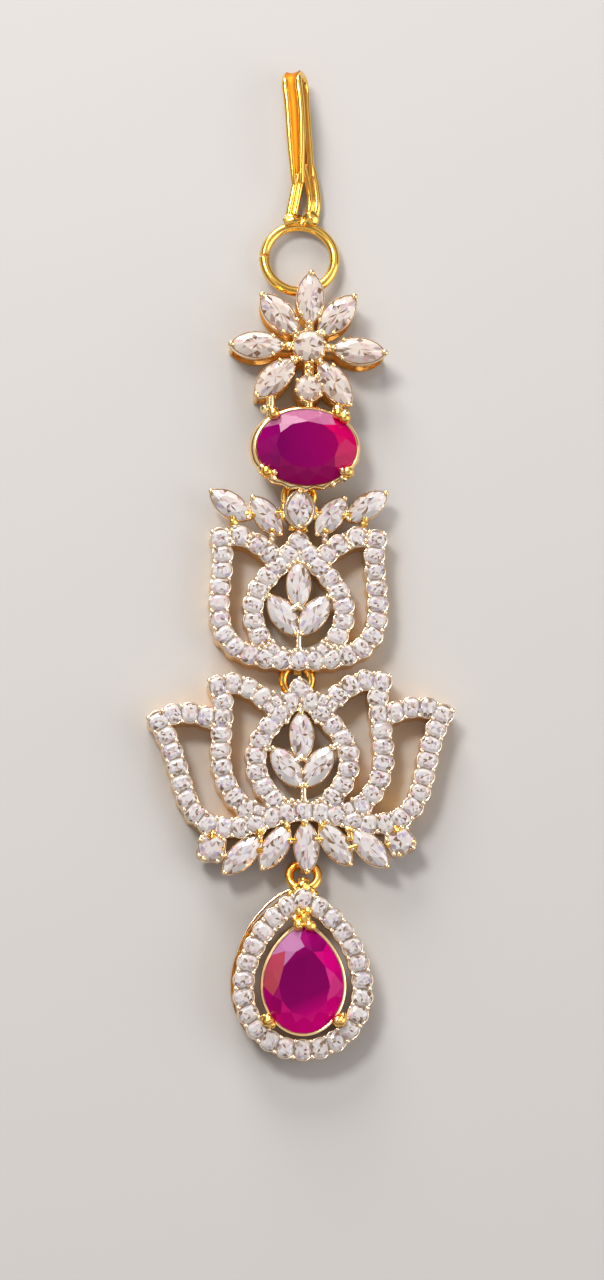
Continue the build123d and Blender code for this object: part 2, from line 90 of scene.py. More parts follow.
def softbox(name, place, width, power, colour):
    """A square soft light at a place in metres, facing the jewel."""
    lamp = bpy.data.lights.new(name, "AREA")
    lamp.size = width
    lamp.energy = power
    lamp.color = colour
    holder = bpy.data.objects.new(name, lamp)
    holder.location = place
    holder.rotation_euler = Vector(place).to_track_quat("Z", "Y").to_euler()
    bpy.context.scene.collection.objects.link(holder)


softbox("key_light", (-0.20, 0.24, 0.42), 0.13, 1.7, (1.0, 0.96, 0.90))
softbox("low_back_light", (-0.12, 0.46, 0.17), 0.24, 2.6, (1.0, 0.96, 0.94))
softbox("fill_light", (0.55, -0.05, 0.30), 0.5, 1.6, (1.0, 0.97, 0.96))

elevation, azimuth, distance = radians(80), radians(-20), 320 * mm
aim = Vector((0.113, -7.863, 2.0)) * mm
backward = Vector((sin(azimuth) * cos(elevation), -cos(azimuth) * cos(elevation), sin(elevation)))
upward = (Vector((0, 1, 0)) - backward * backward.y).normalized()
sideways = upward.cross(backward)
lens = bpy.data.cameras.new("camera")
lens.sensor_fit = "VERTICAL"
lens.sensor_height = 36
lens.lens = 97.2
lens.clip_start = 0.01
camera = bpy.data.objects.new("camera", lens)
turned = Matrix((sideways, upward, backward)).transposed().to_4x4()
camera.matrix_world = Matrix.Translation(aim + backward * distance) @ turned
bpy.context.scene.collection.objects.link(camera)
bpy.context.scene.camera = camera


# ---- Hair hook and large ring ----
# A ribbon of two drawn ridges, folded over into a hook. Its back leg forks into two doubled
# strips, which are soldered to a ring of round wire with a sawn joint. Gold-plated brass.
def plated_gold(name, light, deep, roughness):
    """Polished gold plating: two close tones in drifts, and faint scratches and casting marks."""
    material = bpy.data.materials.new(name)
    material.use_nodes = True
    tree = material.node_tree
    shader = tree.nodes["Principled BSDF"]
    place = tree.nodes.new("ShaderNodeTexCoord")
    drift = tree.nodes.new("ShaderNodeTexNoise")
    drift.inputs["Scale"].default_value = 420
    drift.inputs["Detail"].default_value = 3
    tone = tree.nodes.new("ShaderNodeValToRGB")
    tone.color_ramp.elements[0].position = 0.22
    tone.color_ramp.elements[0].color = (*deep, 1)
    tone.color_ramp.elements[1].position = 0.78
    tone.color_ramp.elements[1].color = (*light, 1)
    rub = tree.nodes.new("ShaderNodeMapRange")
    rub.inputs["To Min"].default_value = roughness * 0.7
    rub.inputs["To Max"].default_value = roughness * 1.5
    grain = tree.nodes.new("ShaderNodeTexNoise")
    grain.inputs["Scale"].default_value = 2600
    grain.inputs["Detail"].default_value = 2
    bump = tree.nodes.new("ShaderNodeBump")
    bump.inputs["Strength"].default_value = 0.12
    bump.inputs["Distance"].default_value = 0.03 * mm
    links = tree.links
    links.new(place.outputs["Object"], drift.inputs["Vector"])
    links.new(place.outputs["Object"], grain.inputs["Vector"])
    links.new(drift.outputs["Fac"], tone.inputs["Fac"])
    links.new(drift.outputs["Fac"], rub.inputs["Value"])
    links.new(tone.outputs["Color"], shader.inputs["Base Color"])
    links.new(rub.outputs["Result"], shader.inputs["Roughness"])
    links.new(grain.outputs["Fac"], bump.inputs["Height"])
    links.new(bump.outputs["Normal"], shader.inputs["Normal"])
    shader.inputs["Metallic"].default_value = 1.0
    return material


drawn_gold = plated_gold("drawn_gold", (1.0, 0.66, 0.17), (0.96, 0.52, 0.08), 0.16)
# A darker, more orange copy of the plating for the web between the hook's ridges: painted shade in the
# groove
painted_shade_gold = plated_gold("painted_shade_gold", (0.58, 0.20, 0.015), (0.44, 0.13, 0.008), 0.46)
cast_gold = plated_gold("cast_gold", (1.0, 0.65, 0.20), (0.90, 0.46, 0.08), 0.22)


def piece(name, solids, material, slot, *replaced, smooth=True):
    """One mesh in place, from (points in millimetres, faces) pairs, riding on the jewel."""
    form = bmesh.new()
    for points, faces in solids:
        corners = [form.verts.new(Vector(point) * mm) for point in points]
        for face in faces:
            form.faces.new([corners[i] for i in face])
    bmesh.ops.recalc_face_normals(form, faces=form.faces)
    mesh = bpy.data.meshes.new(name)
    form.to_mesh(mesh)
    form.free()
    mesh.materials.append(material)
    if smooth:
        mesh.polygons.foreach_set("use_smooth", [True] * len(mesh.polygons))
        mesh.set_sharp_from_angle(angle=radians(40))
    made = bpy.data.objects.new(name, mesh)
    bpy.context.scene.collection.objects.link(made)
    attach(made, "root")
    if replaced:
        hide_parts(*replaced)
    return made


def drawn(path, flat, profile, swell=None, nose=0.1):
    """Wire drawn along a path. The profile's first measure runs along the flat direction,
    its second across it; swell scales both at each point, and each end is rounded over nose."""
    path = [Vector(p) for p in path]
    swell = swell or [(1, 1)] * len(path)
    last = len(path) - 1
    tangents = [(path[min(i + 1, last)] - path[max(i - 1, 0)]).normalized() for i in range(last + 1)]
    rings = []
    for turn in (75, 50, 25):
        push, shrink = nose * sin(radians(turn)), cos(radians(turn))
        rings.append((path[0] - tangents[0] * push, tangents[0], swell[0], shrink))
    rings += [(p, t, s, 1) for p, t, s in zip(path, tangents, swell)]
    for turn in (25, 50, 75):
        push, shrink = nose * sin(radians(turn)), cos(radians(turn))
        rings.append((path[-1] + tangents[-1] * push, tangents[-1], swell[-1], shrink))
    points, faces, count = [], [], len(profile)
    for centre, tangent, (along, across), shrink in rings:
        side = flat.cross(tangent).normalized()
        rise = tangent.cross(side)
        along, across = along * shrink, across * shrink
        points += [centre + rise * (a * along) + side * (b * across) for a, b in profile]
    for r in range(len(rings) - 1):
        for i in range(count):
            j = (i + 1) % count
            faces.append((r * count + i, r * count + j, (r + 1) * count + j, (r + 1) * count + i))
    faces.append(list(range(count))[::-1])
    faces.append([(len(rings) - 1) * count + i for i in range(count)])
    return points, faces


def round_profile(radius, sides=16):
    turns = [2 * pi * i / sides for i in range(sides)]
    return [(radius * cos(t), radius * sin(t)) for t in turns]


def ridged_profile(radius, offset, valley):
    """Section of a doubled strip: two round ridges side by side with a valley between them."""
    ridge = [radians(turn) for turn in range(-115, 116, 23)]
    right = [(offset + radius * cos(t), radius * sin(t)) for t in ridge]
    left = [(-x, -y) for x, y in right]
    return right + [(0, valley)] + left + [(0, -valley)]


def arc_points(centre, radius, first, last, count):
    turns = [radians(first + (last - first) * i / count) for i in range(count + 1)]
    return [Vector((centre[0] + radius * cos(t), centre[1] + radius * sin(t), 0)) for t in turns]


def lump(centre, size, seed, rough=0.18):
    """A blob of solder or a worn ball: a ball of rings, pushed in and out a little."""
    around, up = 18, 10
    points, faces = [], []
    for j in range(up + 1):
        for i in range(around):
            a, b = 2 * pi * i / around, pi * (j / up - 0.5)
            way = Vector((cos(a) * cos(b), sin(a) * cos(b), sin(b)))
            swell = 1 + rough * noise.noise(way * 1.6 + Vector((seed * 7.3, 0, 0)))
            points.append(Vector(centre) + Vector([c * s for c, s in zip(way, size)]) * swell)
    for j in range(up):
        for i in range(around):
            k = (i + 1) % around
            faces.append((j * around + i, j * around + k, (j + 1) * around + k, (j + 1) * around + i))
    return points, faces


jewel_middle = Vector((-0.1133, 0.8628, 0))
ridge_radius, ridge_offset, bend, bend_start = 0.35, 0.64, 1.4, 12.0
back_leg = (3.9, 5.0, 6.5, 8.0, 9.5, 11)
# Down the free leg: x, y and the ribbon's width
free_leg = (
    (0.18, 11.0, 1), (0.2, 9.6, 1), (0.17, 8.2, 0.97), (0.12, 6.8, 0.9),
    (0.07, 5.5, 0.8), (0.03, 4.4, 0.7), (0.0, 3.5, 0.62), (-0.02, 2.6, 0.55),
)
hook_place = (
    Matrix.Translation(Vector((0.58, 34.0, 0.6)) - jewel_middle)
    @ Matrix.Rotation(radians(4), 4, "Z")
    @ Matrix.Rotation(radians(-18), 4, "Y")
)


def ribbon(bulge):
    """Points of the ribbon's middle with its width there: back leg, bend, then the tapered
    free leg. The bend is fuller by bulge."""
    points = [(0.05, y, 0, 1) for y in back_leg]
    for turn in range(0, 181, 12):
        rise = radians(turn)
        full = bulge * sin(rise)
        points.append((0.1, bend_start + (bend + full) * sin(rise), bend - (bend + full) * cos(rise), 1))
    points += [(x, y, 2 * bend, width) for x, y, width in free_leg]
    return points


across = hook_place.to_3x3() @ Vector((1, 0, 0))
hook_solids = []
for side in (-ridge_offset, ridge_offset):
    path = [hook_place @ Vector((x + side * width, y, z)) for x, y, z, width in ribbon(0)]
    swell = [(0.45 + 0.55 * width,) * 2 for _, _, _, width in ribbon(0)]
    hook_solids.append(drawn(path, across, round_profile(ridge_radius), swell, nose=0.25))
# Section of the web between the ridges: across, and height
valley = (
    (ridge_offset, -0.27), (ridge_offset, 0.1), (0, 0.14), (-ridge_offset, 0.1), (-ridge_offset, -0.27),
    (-0.4, -0.16), (-0.2, -0.1), (0, -0.08), (0.2, -0.1), (0.4, -0.16),
)
path = [hook_place @ Vector((x, y, z)) for x, y, z, _ in ribbon(0.2)[:-1]]
swell = [(width, 1) for _, _, _, width in ribbon(0.2)[:-1]]
# The web between the ridges is in the darker gold, painted shade
piece("hook_valley", [drawn(path, across, valley, swell, nose=0.02)], painted_shade_gold, "gold")

# The two strips of the fork: points down to the ring, and swell across
fork = (
    (((0.0, 38.6), (-0.2, 37.8), (-0.4, 36.8), (-0.6, 35.7), (-0.84, 34.5), (-1.05, 33.3)), 0.95),
    (((0.62, 38.9), (0.88, 37.9), (1.05, 36.9), (1.19, 35.9), (1.2, 34.9), (0.95, 33.6)), 1.14),
)
for strip, swell in fork:
    path = [Vector((x, y, 0.74)) - jewel_middle for x, y in strip]
    section = [(y, x) for x, y in ridged_profile(0.32, 0.28, 0.14)]
    hook_solids.append(drawn(path, Vector((0, 0, 1)), section, [(1, swell)] * len(path), nose=0.2))

ring_radius, ring_wire = 3.325, 0.95
ring_low, ring_high = 0.75, 1.5
ring_place = (
    Matrix.Translation(Vector((-0.18, 29.66, (ring_low + ring_high) / 2)) - jewel_middle)
    @ Matrix.Rotation(-asin((ring_high - ring_low) / (2 * ring_radius)), 4, "X")
)
sawn_joint, half_gap = 177, 2.6  # degrees round the ring
steps = 72
turns = (sawn_joint + half_gap, sawn_joint + 360 - half_gap)
ring = [ring_place @ p for p in arc_points((0, 0), ring_radius, *turns, steps)]
ring_swell = [(1 + 0.12 * 0.6**i,) * 2 for i in range(steps + 1)]
ring_axis = ring_place.to_3x3() @ Vector((0, 0, 1))
hook_solids.append(drawn(ring, ring_axis, round_profile(ring_wire / 2), ring_swell, nose=0.04))
# Lumps of solder between the fork and the ring: middle and size
solder = (
    ((-0.72, 33.4, 1.15), (0.98, 0.62, 0.5)),
    ((0.9, 33.6, 1.15), (0.7, 0.8, 0.5)),
    ((0.15, 33.2, 1.1), (0.6, 0.45, 0.42)),
    ((-1.2, 33.5, 1.1), (0.42, 0.5, 0.4)),
)
for seed, (spot, size) in enumerate(solder):
    hook_solids.append(lump(Vector(spot) - jewel_middle, size, seed, 0.3))
piece("hair_hook", hook_solids, drawn_gold, "gold", "hook_and_ring")


# ---- Flower ----
# Seven marquise stones round a larger round one, and a small round one below. Each is a
# brilliant cut in a cast cup, held by small claws at its ends and beads at its sides.
def zirconia(name, cast):
    """Clear white stone with a slight colour cast. Each facet gets a painted reflection for its
    sparkle and dispersion: white, lilac, pink, cream, warm shade or dark brown."""
    material = bpy.data.materials.new(name)
    material.use_nodes = True
    tree = material.node_tree
    shader = tree.nodes["Principled BSDF"]
    facet = tree.nodes.new("ShaderNodeAttribute")
    facet.attribute_name = "facet"
    painted_reflection_tints = tree.nodes.new("ShaderNodeValToRGB")
    painted_reflection_tints.color_ramp.interpolation = "CONSTANT"
    # Painted reflections, one picked at random for each facet
    painted_reflections = (
        (0.00, (1.00, 0.98, 0.98)),
        (0.26, (0.62, 0.50, 0.44)),
        (0.38, (0.98, 0.97, 1.00)),
        (0.52, (0.66, 0.60, 0.84)),
        (0.58, (1.00, 0.90, 0.82)),
        (0.67, (0.30, 0.18, 0.10)),
        (0.76, (0.98, 0.72, 0.80)),
        (0.83, (1.00, 1.00, 1.00)),
    )
    for i, (position, colour) in enumerate(painted_reflections):
        stop = painted_reflection_tints.color_ramp.elements[i] if i < 2 else painted_reflection_tints.color_ramp.elements.new(position)
        stop.position = position
        stop.color = (*[c * k for c, k in zip(colour, cast)], 1)
    tree.links.new(facet.outputs["Fac"], painted_reflection_tints.inputs["Fac"])
    tree.links.new(painted_reflection_tints.outputs["Color"], shader.inputs["Base Color"])
    shader.inputs["Roughness"].default_value = 0.0
    shader.inputs["IOR"].default_value = 2.15
    shader.inputs["Transmission Weight"].default_value = 0.45
    return material


white_stone = zirconia("white_stone", (1, 1, 1))
warm_stone = zirconia("warm_white_stone", (1.0, 0.93, 0.85))
# Paler copies of the same plating, for claws, rims, edges, beads, rods and the set panels' tops: painted
# highlights
bright_painted_highlight_gold = plated_gold("bright_painted_highlight_gold", (1.0, 0.80, 0.48), (1.0, 0.66, 0.28), 0.16)
pale_painted_highlight_gold = plated_gold("pale_painted_highlight_gold", (1.0, 0.88, 0.70), (1.0, 0.76, 0.52), 0.18)


def brilliant(outline, table, crown, pavilion, mains=8):
    """Points and facets of a brilliant cut: table, stars, kites, halves, girdle and pavilion."""
    def ring(scale, height, count, offset=0.0):
        places = [outline(2 * pi * (i + offset) / count) for i in range(count)]
        return [Vector((x * scale, y * scale, height)) for x, y in places]

    turn = cos(pi / mains)
    star = table + 0.45 * (1 - table)
    star_height = crown * (1 - (star * turn - table) / (1 - table))
    half, edge = 0.3, 0.02 * crown
    points = ring(table, crown, mains) + ring(star, star_height, mains, 0.5)
    points += ring(1, edge, 2 * mains) + ring(1, -edge, 2 * mains)
    points += ring(half, -pavilion * (1 - half * turn), mains, 0.5) + [Vector((0, 0, -pavilion))]
    stars, upper, lower, halves, culet = mains, 2 * mains, 4 * mains, 6 * mains, 7 * mains
    inner = len(points)
    points += ring(0.5 * table, crown, mains, 0.5) + [Vector((0, 0, crown))]
    facets = []
    for k in range(mains):
        after, before = (k + 1) % mains, (k - 1) % mains
        g, g1, g2 = 2 * k, 2 * k + 1, (2 * k + 2) % (2 * mains)
        facets += [(inner + mains, inner + before, k, inner + k), (k, after, inner + k)]
        facets += [
            (k, stars + k, after),
            (k, stars + before, upper + g, stars + k),
            (stars + k, upper + g, upper + g1),
            (stars + k, upper + g1, upper + g2),
            (upper + g, lower + g, lower + g1, upper + g1),
            (upper + g1, lower + g1, lower + g2, upper + g2),
            (halves + k, lower + g1, lower + g),
            (halves + k, lower + g2, lower + g1),
            (culet, halves + k, lower + g, halves + before),
        ]
    return points, facets


def round_girdle(width):
    return lambda t: (width / 2 * cos(t), width / 2 * sin(t))


def marquise_girdle(long, wide, full=0.3):
    """Two arcs that meet in a point at each end of the Y axis, rounded a little to an oval."""
    half, reach = wide / 2, long / 2
    arc = (half**2 + reach**2) / (2 * half)

    def place(t):
        y = reach * sin(t)
        x = (1 - full) * (sqrt(arc**2 - y**2) - arc + half) + full * half * abs(cos(t))
        return (x if cos(t) > 0 else -x, y)

    return place


def rim(girdle, section, count=48):
    """A closed wall round a stone: girdle(margin) gives its outline, section its shape as
    (margin, height) pairs."""
    points, faces = [], []
    for margin, height in section:
        outline = girdle(margin)
        points += [Vector((*outline(2 * pi * i / count), height)) for i in range(count)]
    for r in range(len(section)):
        after = (r + 1) % len(section)
        for i in range(count):
            j = (i + 1) % count
            faces.append((r * count + i, r * count + j, after * count + j, after * count + i))
    return points, faces


def bezel(top, depth, wall):
    """Section of a thin setting edge with a rounded top."""
    return ((0.03, top - depth), (wall, top - depth), (wall + 0.02, top - 0.12), (wall - 0.03, top - 0.02),
            (wall * 0.5, top + 0.01), (0.03, top - 0.06))


def set_in(place, solid):
    points, faces = solid
    return [place @ Vector(p) for p in points], faces


def stones(name, cuts, material, slot, seed, *replaced):
    """Cut stones as one piece, with a random number on each facet that picks its painted reflection."""
    made = piece(name, cuts, material, slot, *replaced, smooth=False)
    draw = random.Random(seed)
    facet = made.data.attributes.new("facet", "FLOAT", "FACE")
    facet.data.foreach_set("value", [draw.random() for _ in made.data.polygons])
    return made


def lathe(profile, sides=12):
    """A turned form from (radius, height) pairs, closed on its axis at both ends."""
    points, faces = [], []
    for radius, height in profile:
        points += [Vector((radius * cos(2 * pi * i / sides), radius * sin(2 * pi * i / sides), height))
                   for i in range(sides)]
    for r in range(len(profile) - 1):
        for i in range(sides):
            j = (i + 1) % sides
            faces.append((r * sides + i, r * sides + j, (r + 1) * sides + j, (r + 1) * sides + i))
    faces.append(list(range(sides))[::-1])
    faces.append([(len(profile) - 1) * sides + i for i in range(sides)])
    return points, faces


def claw(spot, radius, drop):
    """A claw at a stone's edge: a post with a rounded head."""
    post = 0.72 * radius
    dome = [(radius * cos(radians(t)), radius * 0.8 * sin(radians(t))) for t in (-30, 0, 25, 50, 72)]
    profile = [(post, -drop), (post, -0.5 * radius)] + dome + [(0.02 * radius, 0.8 * radius)]
    points, faces = lathe(profile)
    return [Vector(spot) + p for p in points], faces


def marquise_rim(long, wide, section, full=0.3):
    """The thin edge of the cup round a marquise stone."""
    return rim(lambda margin: marquise_girdle(long + 2.4 * margin, wide + 2 * margin, full), section)


def middle_of(node):
    """Middle and size of a node, in millimetres."""
    low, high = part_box(node)
    return (low + high) / 2 / mm, (high - low) / mm


petal_long, petal_wide, petal_full = 4.78, 2.4, 0.45
# Direction of each petal from the flower's middle, in degrees
petals = {
    "top": 88.3, "upper_left": 132.4, "left": 179.4, "lower_left": 224.0,
    "lower_right": 304.1, "right": 355.4, "upper_right": 48.4,
}
flower_girdle, claw_drop = 3.36, 0.9
# Claws of a petal: across, along and radius
petal_claws = ((0, 2.42, 0.33), (0, -2.38, 0.27), (0.86, -1.5, 0.22), (-0.86, -1.5, 0.22))
petal_outline = marquise_girdle(petal_long, petal_wide, petal_full)
petal_cut = brilliant(petal_outline, 0.55, 0.5, 0.95, mains=16)
petal_rim = marquise_rim(petal_long, petal_wide, bezel(flower_girdle + 0.05, 0.6, 0.13), petal_full)
flower_claws, flower_rims = [], []
middle, _ = middle_of("centre_stone")
for number, (petal, turn) in enumerate(petals.items()):
    centre, _ = middle_of("petal_stone_" + petal)
    place = Matrix.Translation((centre.x, centre.y, 0)) @ Matrix.Rotation(radians(turn - 90), 4, "Z")
    cut = [set_in(place @ Matrix.Translation((0, 0, flower_girdle)), petal_cut)]
    stones("petal_" + petal, cut, warm_stone, "white_stone", 11 + number, "petal_stone_" + petal)
    flower_rims.append(set_in(place, petal_rim))
    for x, y, radius in petal_claws:
        flower_claws.append(set_in(place, claw((x, y, flower_girdle + 0.14), radius, claw_drop)))
    inward = Vector((cos(radians(turn)), sin(radians(turn)), 0))
    spot = Vector((middle.x, middle.y, flower_girdle - 0.12)) + inward * 1.86
    flower_claws.append(lump(spot, (0.4, 0.4, 0.34), number, 0.3))
for name, width, seed in (("centre_stone", 2.85, 31), ("lower_stone", 2.34, 32)):
    centre, _ = middle_of(name)
    place = Matrix.Translation((centre.x, centre.y, 0)) @ Matrix.Rotation(radians(12), 4, "Z")
    cut = brilliant(round_girdle(width), 0.55, 0.5, 1.1, mains=12)
    cut = set_in(place @ Matrix.Translation((0, 0, flower_girdle)), cut)
    stones("round_" + name, [cut], warm_stone, "white_stone", seed, name)
    edge = rim(lambda m: round_girdle(width + 2 * m), bezel(flower_girdle + 0.05, 0.6, 0.14))
    flower_rims.append(set_in(place, edge))
    claw_circle = width / 2 + 0.08
    for turn in range(0, 360, 45):
        x, y = claw_circle * cos(radians(turn)), claw_circle * sin(radians(turn))
        radius = 0.24 if turn % 90 else 0.18
        flower_claws.append(set_in(place, claw((x, y, flower_girdle + 0.12), radius, claw_drop)))
for y in (-1.95, -2.55):
    spot = (middle.x, middle.y + y, flower_girdle - 0.05)
    flower_claws.append(lump(spot, (0.36, 0.33, 0.34), 9 + y, 0.25))
# Claws and cup rims in the paler golds: painted highlights
piece("flower_claws", flower_claws, bright_painted_highlight_gold, "gold")
piece("flower_rims", flower_rims, pale_painted_highlight_gold, "gold")


# ---- Oval ruby ----
# A clouded oval ruby in an openwork basket, held by clusters of balls at its four corners. A
# thin collar, filed into scallops below, stands round it, and three rods join the basket to
# the flower. Cast brass, gold plated.
def ruby_glass(name, centre, width, turn, tones):
    """Clouded ruby in its own dark red, with painted light: a gradient across the stone from purple on
    one side to bright crimson on the other, and paler crown facets that are painted highlights."""
    material = bpy.data.materials.new(name)
    material.use_nodes = True
    tree = material.node_tree
    shader = tree.nodes["Principled BSDF"]
    place = tree.nodes.new("ShaderNodeTexCoord")
    # Painted light: the colour runs across the stone in its own coordinates, turned by turn
    across = tree.nodes.new("ShaderNodeMapping")
    across.vector_type = "TEXTURE"
    across.inputs["Location"].default_value = (centre.x * mm, centre.y * mm, 0)
    across.inputs["Scale"].default_value = (width * mm, width * mm, width * mm)
    across.inputs["Rotation"].default_value = (0, 0, radians(turn))
    split = tree.nodes.new("ShaderNodeSeparateXYZ")
    reach = tree.nodes.new("ShaderNodeMapRange")
    reach.inputs["From Min"].default_value = -0.5
    reach.inputs["From Max"].default_value = 0.5
    body = tree.nodes.new("ShaderNodeValToRGB")
    for i, (position, colour) in enumerate(tones):
        stop = body.color_ramp.elements[i] if i < 2 else body.color_ramp.elements.new(position)
        stop.position = position
        stop.color = (*colour, 1)
    crown = tree.nodes.new("ShaderNodeAttribute")
    crown.attribute_name = "painted_crown_light"
    blend = tree.nodes.new("ShaderNodeMix")
    blend.data_type = "RGBA"
    links = tree.links
    links.new(place.outputs["Object"], across.inputs["Vector"])
    links.new(across.outputs["Vector"], split.inputs["Vector"])
    links.new(split.outputs["X"], reach.inputs["Value"])
    links.new(reach.outputs["Result"], body.inputs["Fac"])
    links.new(crown.outputs["Alpha"], blend.inputs["Factor"])
    links.new(crown.outputs["Color"], blend.inputs["B"])
    links.new(body.outputs["Color"], blend.inputs["A"])
    links.new(blend.outputs["Result"], shader.inputs["Base Color"])
    shader.inputs["Roughness"].default_value = 0.02
    shader.inputs["IOR"].default_value = 1.77
    shader.inputs["Specular IOR Level"].default_value = 0.03
    shader.inputs["Transmission Weight"].default_value = 0.12
    return material


def ruby(name, cut, material, lights, seed, *replaced):
    """A cut ruby. Its table of painted light gives (direction, half spread, strength, colour) for
    the crown facets facing each way: pale painted highlights or bright painted crimson on them."""
    made = piece(name, [cut], material, "ruby", *replaced, smooth=False)
    draw = random.Random(seed)
    # Painted light on each crown facet: a colour, and how far it mixes into the stone's colour
    crown = made.data.attributes.new("painted_crown_light", "FLOAT_COLOR", "FACE")
    for polygon, value in zip(made.data.polygons, crown.data):
        level = degrees(atan2(polygon.normal.y, polygon.normal.x))
        shade = draw.uniform(0.8, 1.1)
        value.color = (0.3, 0.0, 0.12, draw.uniform(0, 0.12))
        if not 0.3 < polygon.normal.z < 0.97:
            continue
        for way, spread, strength, colour in lights:
            if abs((level - way + 180) % 360 - 180) < spread:
                value.color = (*colour, strength * shade)
    return made


# Colour across the oval, one side to the other: its own dark red with painted light, brightest crimson at
# one edge
oval_colour_and_painted_light = (
    (0.0, (0.25, 0.0, 0.10)),
    (0.22, (0.145, 0.0, 0.074)),
    (0.5, (0.20, 0.0, 0.086)),
    (0.8, (0.26, 0.0, 0.082)),
    (1.0, (0.50, 0.0, 0.11)),
)
# Painted light on the oval's crown facets: the way they face, half spread, strength and colour
oval_painted_lights = (
    (0, 70, 0.8, (0.56, 0.0, 0.09)),
    (180, 50, 0.5, (0.24, 0.0, 0.11)),
    (-90, 40, 0.6, (0.34, 0.0, 0.10)),
    (100, 38, 0.85, (0.45, 0.16, 0.29)),
)
oval_centre, oval_extent = middle_of("oval_ruby")


def oval_girdle(t):
    return oval_extent.x / 2 * cos(t), oval_extent.y / 2 * sin(t)


oval_cut = brilliant(oval_girdle, 0.62, 1.05, 1.75, mains=12)
oval_place = Matrix.Translation((oval_centre.x, oval_centre.y, 3.35))
oval_glass = ruby_glass("oval_ruby", oval_centre, 9.4, 10, oval_colour_and_painted_light)
ruby("oval_ruby_stone", set_in(oval_place, oval_cut), oval_glass, oval_painted_lights, 41, "oval_ruby")

# Section of the collar: distance from the stone, and height
collar = ((0.02, 2.5), (0.36, 2.75), (0.44, 2.95), (0.36, 3.2), (0.2, 3.42), (0.12, 3.47), (0.04, 3.42))


def collar_girdle(margin):
    """The basket's upper edge, wider at the left and filed into scallops below the stone."""
    def place(t):
        filed = margin
        if margin > 0.15:
            filed *= 1 + 0.2 * cos(20 * t) * max(0, -sin(t)) + 0.45 * max(0, -cos(t))
        return (oval_extent.x / 2 + filed) * cos(t), (oval_extent.y / 2 + filed) * sin(t)
    return place


oval_collar = rim(collar_girdle, collar, 160)
shifted = Matrix.Translation((oval_centre.x - 0.06, oval_centre.y - 0.03, 0))
oval_claws = [set_in(shifted, oval_collar)]
# Balls of the prongs: x and y from the stone's middle, height and radius
oval_balls = (
    (-3.15, 3.2, 3.62, 0.6), (-3.85, 3.6, 3.1, 0.5), (2.85, 3.6, 3.4, 0.52), (3.45, 3.1, 3.62, 0.58),
    (-3.75, -2.45, 3.6, 0.58), (-4.15, -2.0, 3.3, 0.4), (-3.2, -2.95, 3.35, 0.42), (-3.0, -2.5, 3.65, 0.3),
    (3.8, -2.4, 3.6, 0.58), (3.3, -2.3, 3.72, 0.36), (3.35, -2.9, 3.3, 0.4), (2.4, -3.45, 3.2, 0.34),
)
for number, (x, y, z, radius) in enumerate(oval_balls):
    spot = (oval_centre.x + x, oval_centre.y + y, z)
    oval_claws.append(lump(spot, (radius, radius * 0.95, radius * 0.85), number, 0.22))
# Rods between the basket and the flower: x, and the lower and upper end along the jewel
oval_rods = ((-3.0, 13.3, 16.4), (0.6, 14.2, 15.9), (3.4, 13.5, 16.2))
for x, low, high in oval_rods:
    path = [Vector((x, low + (high - low) * i / 4, 2.85)) - jewel_middle for i in range(5)]
    oval_claws.append(drawn(path, Vector((0, 0, 1)), round_profile(0.4), nose=0.3))
# Collar, balls and rods in the paler gold: painted highlight
piece("oval_basket_claws", oval_claws, bright_painted_highlight_gold, "gold")


# ---- Jump rings and cast panels ----
# The two upper jump rings are bent from drawn wire, each with a sawn joint. The lowest one and
# the four cast panels keep their own forms. On the three set panels the polished tops that carry
# the stones get the paler gold as a painted highlight, and the sides keep the warmer cast gold.
link_radius, link_wire = 1.32, 0.83


def jump_ring(node, middle, flat, sawn):
    """A ring of wire in the plane across flat, with its joint at sawn degrees."""
    turning = flat.rotation_difference(Vector((0, 0, 1))).inverted().to_matrix().to_4x4()
    place = Matrix.Translation(middle) @ turning
    path = [place @ p for p in arc_points((0, 0), link_radius, sawn + 1.5, sawn + 358, 48)]
    wire = drawn(path, flat, round_profile(link_wire / 2), nose=0.05)
    piece("link_" + node, [wire], drawn_gold, "gold", node)


for node, sawn in (("jump_ring_1", 60), ("jump_ring_2", 205)):
    centre, _ = middle_of(node)
    jump_ring(node, centre, Vector((0, 0, 1)), sawn)

set_panels = ("tulip_panel", "lotus_panel", "drop_frame")
lowest_top, level = 2.2 * mm, 0.97
for name in ("top_panel", "jump_ring_3", *set_panels):
    mesh = nodes[name].data
    mesh.materials.clear()
    mesh.materials.append(cast_gold)
    mesh.materials.append(pale_painted_highlight_gold)
    for polygon in mesh.polygons:
        # High faces that point up on a set panel take the paler gold: painted highlight
        raised = polygon.normal.z > level and polygon.center.z > lowest_top
        polygon.material_index = 1 if raised and name in set_panels else 0
    mesh.polygons.foreach_set("use_smooth", [True] * len(mesh.polygons))
    mesh.set_sharp_from_angle(angle=radians(35))


# ---- Pavé ----
# White stones set edge to edge on the bars of both panels and round the drop, a little squared.
# Beads raised from the metal between them hold them, and a thin edge in pale gold, a painted
# highlight, runs round each stone on the side that faces away from its neighbours.
def loose_stones(node):
    """(culet, middle of the table, width) of each stone in a field, in millimetres."""
    mesh = nodes[node].data
    key = [tuple(round(c * 1e6) for c in v.co) for v in mesh.vertices]
    parent = {k: k for k in key}

    def root(k):
        while parent[k] != k:
            parent[k] = parent[parent[k]]
            k = parent[k]
        return k

    for polygon in mesh.polygons:
        first, *rest = [key[i] for i in polygon.vertices]
        for other in rest:
            parent[root(other)] = root(first)
    groups = {}
    for k in sorted(parent):
        groups.setdefault(root(k), []).append(Vector(k) / 1000)
    found = []
    for points in groups.values():
        points.sort(key=lambda p: p.z)
        table = sum(points[-8:], Vector()) / 8
        width = max((p - q).length for p in points[1:9] for q in points[1:9])
        found.append((points[0], table, width))
    return found


